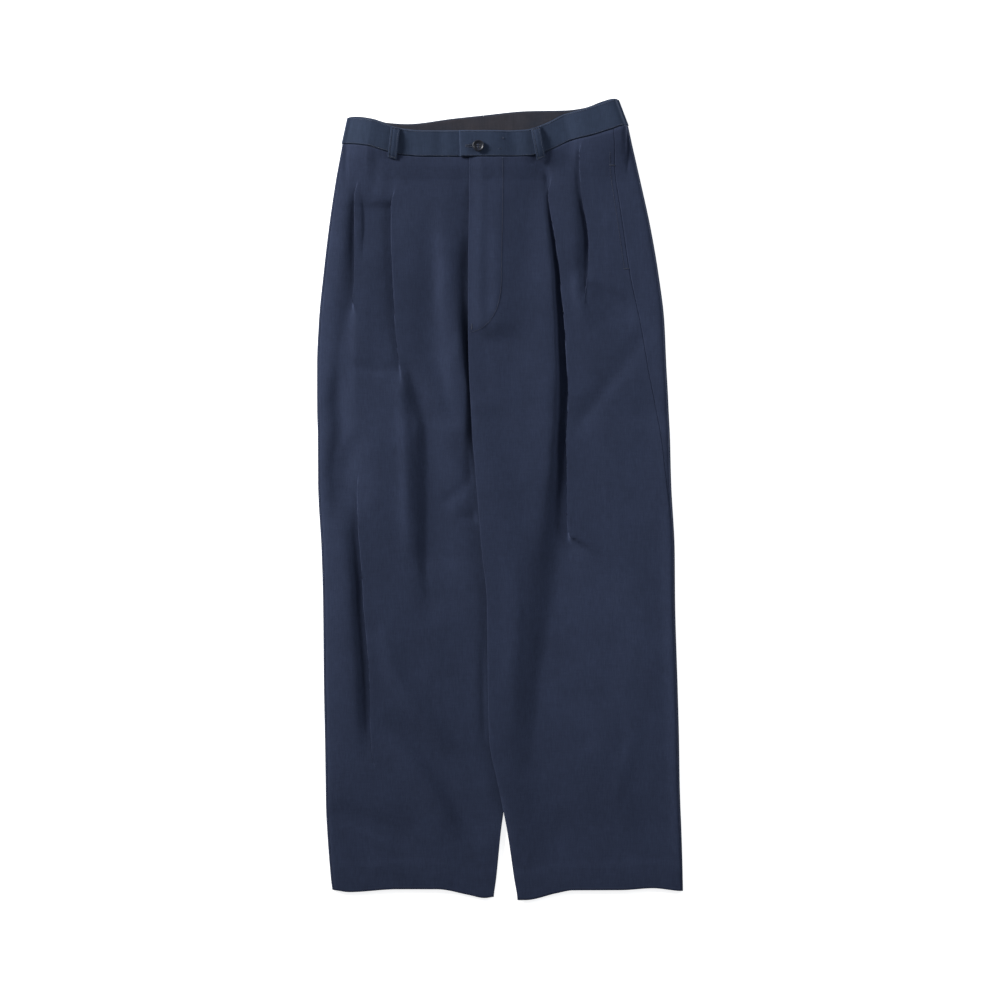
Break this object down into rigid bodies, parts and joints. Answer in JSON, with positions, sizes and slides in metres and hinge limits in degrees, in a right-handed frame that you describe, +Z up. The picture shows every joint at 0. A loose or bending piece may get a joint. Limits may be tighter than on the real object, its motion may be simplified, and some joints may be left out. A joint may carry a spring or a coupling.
{
  "type": "pleated chinos laid flat",
  "caption": "Wide pleated trousers in smooth dark navy cloth, laid flat front up, with buttoned waistband, closed fly, belt loops and side pockets.",
  "frame": {"origin": "middle of the laid garment, on the surface that it lies on", "axes": "+Z up from the surface, +Y from the hems to the waist, +X towards the wearer's left leg"},
  "size_m": [0.5048, 1.1034, 0.0204],
  "materials": {
    "front": "smooth tightly woven navy cloth, dull",
    "back": "smooth tightly woven navy cloth, dull",
    "band": "navy cloth over a stiffener",
    "loop": "navy cloth, folded and stitched",
    "pocket": "navy cloth",
    "facing": "dark grey-brown lining cloth",
    "zip": "dark woven tape with nylon coil",
    "slider": "dark metal",
    "button": "dark navy, slightly glossy"
  },
  "bodies": {
    "root": {"back_left": "back", "back_right": "back", "front_left": "front", "front_right": "front", "waistband_left": "band", "waistband_right": "band", "waistband_facing": "facing", "loop_front_left": "loop", "loop_front_right": "loop", "loop_back_left": "loop", "loop_back_centre": "loop", "loop_back_right": "loop", "pocket_left": "pocket", "pocket_right": "pocket", "zip": "zip", "zip_slider": "slider", "button": "button"}
  },
  "joints": []
}
